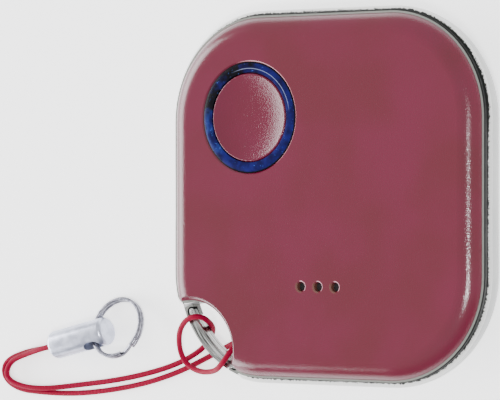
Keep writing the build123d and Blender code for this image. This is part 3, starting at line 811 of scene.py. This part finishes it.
outline = domeArc(dome["radius"], dome["height"], rising=False)
outline += domeArc(dome["radius"] - dome["thick"], dome["height"] - dome["thick"], rising=True)
outline[0] = (0, outline[0][1])
outline[-1] = (0, outline[-1][1])
mesh = meshOf("switchDome", turnedAtButton(outline, steps=dome["turnSteps"]))
piece = finished("switchDome", mesh, "housing", "contact_steel", ["switch_dome"])
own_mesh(piece)

print("crimp")
# a barrel with rounded ends, an oval cross hole (the eye) and a flat bore for both cord ends
eye = {
    "roll": radians(20),
    "fromEnd": 1.75 * mm,
    "wide": 1.7 * mm,
    "long": 2.2 * mm,
    "cut": 6 * mm,
}
bore = {"wide": 0.66 * mm, "long": 1.26 * mm, "cut": 3.4 * mm, "before": 1.0 * mm}
eyeAt = crimp["start"] + crimpAxis * (crimp["length"] - eye["fromEnd"])
eyeAxis = crimpSide * cos(eye["roll"]) - up * sin(eye["roll"])
eyeAcross = eyeAxis.cross(crimpAxis)
inset = crimp["radius"] - crimp["edge"]
outline = [(0, 0)]
outline += arcPoints(
    (inset, crimp["edge"]), crimp["edge"], radians(-90), 0, crimp["edgeSteps"])
outline += arcPoints(
    (inset, crimp["length"] - crimp["edge"]), crimp["edge"], 0, radians(90), crimp["edgeSteps"])
outline.append((0, crimp["length"]))
shape = turned(outline, steps=crimp["turnSteps"])
crimpTurn = Matrix.Rotation(crimp["angle"], 4, "Z") @ Matrix.Rotation(radians(90), 4, "Y")
bmesh.ops.transform(
    shape, matrix=Matrix.Translation(crimp["start"]) @ crimpTurn, verts=shape.verts)
eyeCut = slotCutter(
    eye["wide"], eye["long"], eye["cut"],
    placing(eyeAt - eyeAxis * (eye["cut"] / 2), crimpAxis, eyeAcross, eyeAxis))
boreCut = slotCutter(
    bore["wide"], bore["long"], bore["cut"],
    placing(crimp["start"] - crimpAxis * bore["before"], up, crimpSide, crimpAxis))
mesh = carved(shape, [eyeCut, boreCut])
finished("crimp", mesh, "housing", "crimp_nickel", ["cord_crimp"], sharpFrom=30)

print("small split ring")
# a flat wire swept round twice, with a short step from one coil to the next
split = {
    "middle": 3.0 * mm,
    "thick": 0.38 * mm,
    "coil": 0.345 * mm,
    "coilGap": 0.012 * mm,
    "edge": 0.1 * mm,
    "droop": radians(0.53),
    "openAt": radians(-52),
    "step": radians(26),
    "coilSteps": 110,
    "stepSteps": 12,
}
ringDir = crimpAxis * cos(split["droop"]) + eyeAcross * sin(split["droop"])
ringNormal = ringDir.cross(eyeAxis)
ringCentre = eyeAt + ringDir * split["middle"]
shape = bmesh.new()
bmesh.ops.create_grid(shape, x_segments=1, y_segments=1, size=0.5)
bmesh.ops.scale(
    shape, vec=(split["thick"], split["coil"] - split["coilGap"], 1), verts=shape.verts)
bmesh.ops.bevel(
    shape, geom=shape.verts[:], offset=split["edge"], affect="VERTICES", segments=4,
    profile=0.5, clamp_overlap=True, material=-1)
bmesh.ops.rotate(
    shape, cent=(0, 0, 0), matrix=Matrix.Rotation(radians(90), 3, "X"), verts=shape.verts)
bmesh.ops.translate(shape, vec=(split["middle"], 0, -split["coil"] / 2), verts=shape.verts)
bmesh.ops.rotate(
    shape, cent=(0, 0, 0), matrix=Matrix.Rotation(split["openAt"], 3, "Z"), verts=shape.verts)
coil = (2 * pi - split["step"], 0, split["coilSteps"])
crossing = (split["step"], split["coil"], split["stepSteps"])
end = shape.faces[:]
for sweep, climb, steps in (coil, crossing, coil):
    made = bmesh.ops.spin(
        shape, geom=end, cent=(0, 0, 0), axis=up, dvec=(0, 0, climb / steps),
        angle=sweep, steps=steps)
    end = [part for part in made["geom_last"] if isinstance(part, bmesh.types.BMFace)]
bmesh.ops.remove_doubles(shape, verts=shape.verts, dist=0.1 * micron)
bmesh.ops.transform(
    shape, verts=shape.verts,
    matrix=placing(ringCentre, ringDir, ringNormal.cross(ringDir), ringNormal))
finished(
    "splitRing", meshOf("splitRing", shape), "ring", "bail_steel", ["key_ring"],
    splitSteel.material, sharpFrom=40)

print("cord")
cord = {
    "diameter": 0.55 * mm,
    "length": 0.10696,
    "bore": 2.4 * mm,
    "straight": 1.1 * mm,
    "gap": 0.3 * mm,
    "smooth": 12,
    "roundness": 5,
}
# from the crimp to the corner, round the bail as a hitch, and back: mm from the notch's middle
fromNotch = [
    (-24.0, -1.15, 1.05),
    (-26.5, -2.0, 0.86),
    (-27.1, -3.7, 0.86),
    (-25.2, -4.55, 0.86),
    (-22.0, -4.75, 0.86),
    (-17.7, -4.2, 0.28),
    (-12.9, -3.57, 0.28),
    (-8.4, -2.62, 0.28),
    (-5.0, -1.55, 0.28),
    (-2.25, -0.1, 0.3),
    (-0.8, 1.5, 0.7),
    (0.2, 2.4, 2.3),
    (0.2, 3.3, 4.05),
    (-1.35, 3.15, 4.2),
    (-2.85, 2.05, 3.5),
    (-3.9, 0.6, 2.3),
    (-4.2, -0.9, 1.35),
    (-3.5, -1.9, 1.05),
    (-1.8, -2.4, 1.4),
    (0.6, -2.2, 2.6),
    (2.4, -1.6, 4.15),
    (3.9, 0.2, 4.2),
    (3.8, 1.1, 2.3),
    (1.7, 0.6, 0.7),
    (-1.6, -0.9, 0.28),
    (-5.2, -2.5, 0.28),
    (-9.2, -3.75, 0.28),
    (-13.6, -4.6, 0.28),
    (-18.2, -5.15, 0.28),
    (-22.5, -5.15, 0.28),
    (-26.0, -4.9, 0.28),
    (-27.85, -3.6, 0.28),
    (-27.5, -1.95, 0.28),
    (-24.6, -0.95, 0.3),
]
boreEnd = crimp["start"] + crimpAxis * cord["bore"]
mouthOut = crimp["start"] - crimpAxis * cord["straight"]
lift = up * cord["gap"]
notch = Vector((*notchAt, 0))
route = [boreEnd + lift, mouthOut + lift]
route += [notch + Vector(point) * mm for point in fromNotch]
route += [mouthOut - lift, boreEnd - lift]
curve = bpy.data.curves.new("cord", "CURVE")
curve.dimensions = "3D"
spline = curve.splines.new("NURBS")
spline.points.add(len(route) - 1)
for point, place in zip(spline.points, route):
    point.co = (*place, 1)
spline.order_u = 3
spline.use_endpoint_u = True
spline.resolution_u = cord["smooth"]
curve.bevel_depth = cord["diameter"] / 2
curve.bevel_resolution = cord["roundness"]
curve.use_fill_caps = True
curve.materials.append(finishes["cord_red"].material)
lanyard = placed("cord", curve)
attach(lanyard, "housing")
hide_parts("lanyard_cord")

print("floor and lights")
white = (1, 1, 1, 1)
paper = {"size": 1.5, "grain": 1 * mm, "patch": 40 * mm, "glow": 1.2}
shape = bmesh.new()
bmesh.ops.create_grid(shape, x_segments=1, y_segments=1, size=paper["size"])
floor = placed("floor", meshOf("floor", shape))
paperFinish = plainFinish(
    "floor paper", colour(250, 250, 251), colour(247, 247, 248), 0.7,
    grain=paper["grain"], depth=2 * micron, patch=paper["patch"])
paperFinish.set(Emission_Color=white, Emission_Strength=paper["glow"])
floor.data.materials.append(paperFinish.material)

# white studio with a dim side low down, towards -Y
room = {"dim": (0.5, 0.5, 0.54, 1), "strength": 1.3}
world = bpy.data.worlds.new("studio")
bpy.context.scene.world = world
world.use_nodes = True
studio = Nodes(world.node_tree, "Generated")
north, height = studio.axes()[1:]
gloom = (-north).rise(0.15, 0.5) * height.fall(0.35, 0.85)
background = world.node_tree.nodes["Background"]
studio.feed(background.inputs["Color"], studio.mix(white, room["dim"], gloom))
studio.feed(background.inputs["Strength"], room["strength"])

# softboxes that face the part: the bright left and lower edges, the streak on the right
# edge and the brighter spot at the streak's lower end
lamps = {
    "lowLeft": {
        "toward": (-0.94, -0.16, 0.315), "away": 0.6, "wide": 0.92, "tall": 0.34, "power": 10.6},
    "edgeLight": {
        "toward": (0.5, -0.02, 0.87), "away": 0.65, "wide": 0.22, "tall": 0.09, "power": 0.5},
    "edgeSpot": {
        "toward": (0.47, -0.19, 0.857), "away": 0.65, "wide": 0.09, "tall": 0.07, "power": 2.4},
}
for name, lamp in lamps.items():
    data = bpy.data.lights.new(name, "AREA")
    data.shape = "RECTANGLE"
    data.size = lamp["wide"]
    data.size_y = lamp["tall"]
    data.energy = lamp["power"]
    softbox = placed(name, data)
    direction = Vector(lamp["toward"]).normalized()
    softbox.location = direction * lamp["away"]
    softbox.rotation_euler = direction.to_track_quat("Z", "Y").to_euler()
